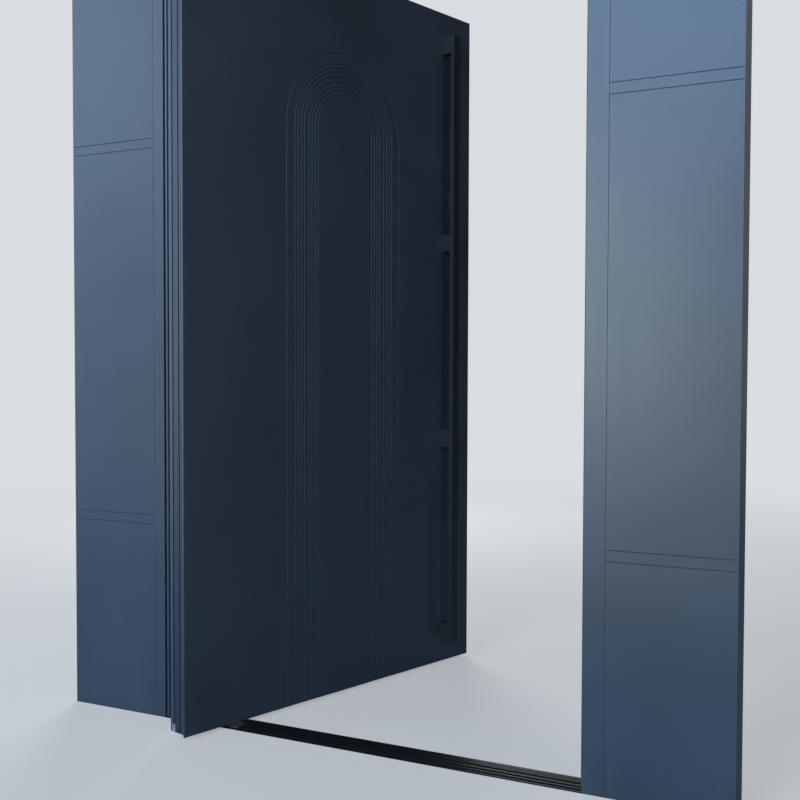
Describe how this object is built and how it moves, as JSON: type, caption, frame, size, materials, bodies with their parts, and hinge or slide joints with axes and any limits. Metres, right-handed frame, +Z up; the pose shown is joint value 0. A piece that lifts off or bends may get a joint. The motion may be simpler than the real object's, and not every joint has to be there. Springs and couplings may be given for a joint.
{
  "type": "flush pivot door",
  "caption": "Wide flush metal pivot door with routed nested arches, a full-height pull bar, fixed flush side panels, a stepped frame and a low ribbed threshold.",
  "frame": {"origin": "middle of the threshold's underside, in the middle of the unit's width and of the frame's depth", "axes": "+Z up, +Y into the building, +X to the right as seen from outside"},
  "size_m": [2.818, 1.716, 3.322],
  "materials": {
    "anthracite_coat": "satin powder coat",
    "edge_coat": "satin powder coat",
    "handle_coat": "satin black powder coat",
    "black_sill": "black anodised",
    "pivot_steel": "brushed",
    "seal_rubber": "matt",
    "white_plastic": "matt",
    "core_board": "insulation board"
  },
  "bodies": {
    "frame": {"threshold": "black_sill", "floor_pivot": "pivot_steel", "head_rail": "anthracite_coat", "head_pivot": "pivot_steel", "left_jamb": "anthracite_coat", "right_jamb": "anthracite_coat", "strike_plates": "pivot_steel", "left_jamb_gasket": "seal_rubber", "right_jamb_gasket": "seal_rubber", "heel_front_gasket": "seal_rubber", "head_gasket": "seal_rubber", "left_outer_skin": "anthracite_coat", "left_inner_skin": "anthracite_coat", "left_panel_core": "core_board", "left_panel_rails": "anthracite_coat", "left_wall_post": "anthracite_coat", "right_outer_skin": "anthracite_coat", "right_inner_skin": "anthracite_coat", "right_panel_core": "core_board", "right_panel_rails": "anthracite_coat", "right_wall_post": "anthracite_coat"},
    "leaf": {"leaf_outer_skin": "anthracite_coat", "leaf_inner_skin": "anthracite_coat", "heel_stile": "edge_coat", "lock_stile": "edge_coat", "leaf_bottom_rail": "edge_coat", "leaf_core": "core_board", "leaf_top_rail": "edge_coat", "outer_edge_gasket": "seal_rubber", "inner_edge_gasket": "seal_rubber", "drop_seal": "seal_rubber", "drop_seal_plugs": "white_plastic", "lock_faceplate": "pivot_steel", "lock_bolts": "pivot_steel", "lower_pivot_shoe": "pivot_steel", "upper_pivot_shoe": "pivot_steel", "outer_pull_bar": "handle_coat", "outer_pull_brackets": "handle_coat", "inner_pull_bar": "handle_coat", "inner_pull_brackets": "handle_coat"}
  },
  "joints": [
    {"name": "leaf_swing", "type": "hinge", "parent": "frame", "child": "leaf", "pos_m": [-0.636, -0.019, 0], "axis": [0, 0, 1], "range_deg": [-73.5, 16.5]}
  ]
}
